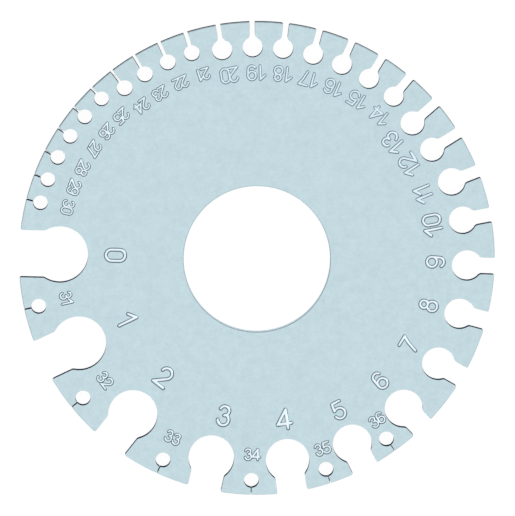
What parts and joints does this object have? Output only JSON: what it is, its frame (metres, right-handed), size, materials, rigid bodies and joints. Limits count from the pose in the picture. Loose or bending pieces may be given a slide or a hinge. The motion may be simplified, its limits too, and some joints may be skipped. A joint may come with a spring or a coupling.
{
  "type": "wire gauge plate",
  "caption": "Round flat steel plate with slots of graded width in its rim, each ending in a round relief hole next to its stamped gauge number, and a bore in the middle.",
  "frame": {"origin": "centre of the bore, on the plain underside that the plate rests on", "axes": "+Z out of the numbered face along the bore, +X towards the slot of gauge 9, +Y towards the slot of gauge 19"},
  "size_m": [0.0824, 0.0826, 0.002],
  "materials": {
    "satin_steel": "satin, pale blue-grey, with sheared edges a little darker"
  },
  "bodies": {
    "root": {"gauge_plate": "satin_steel"}
  },
  "joints": []
}
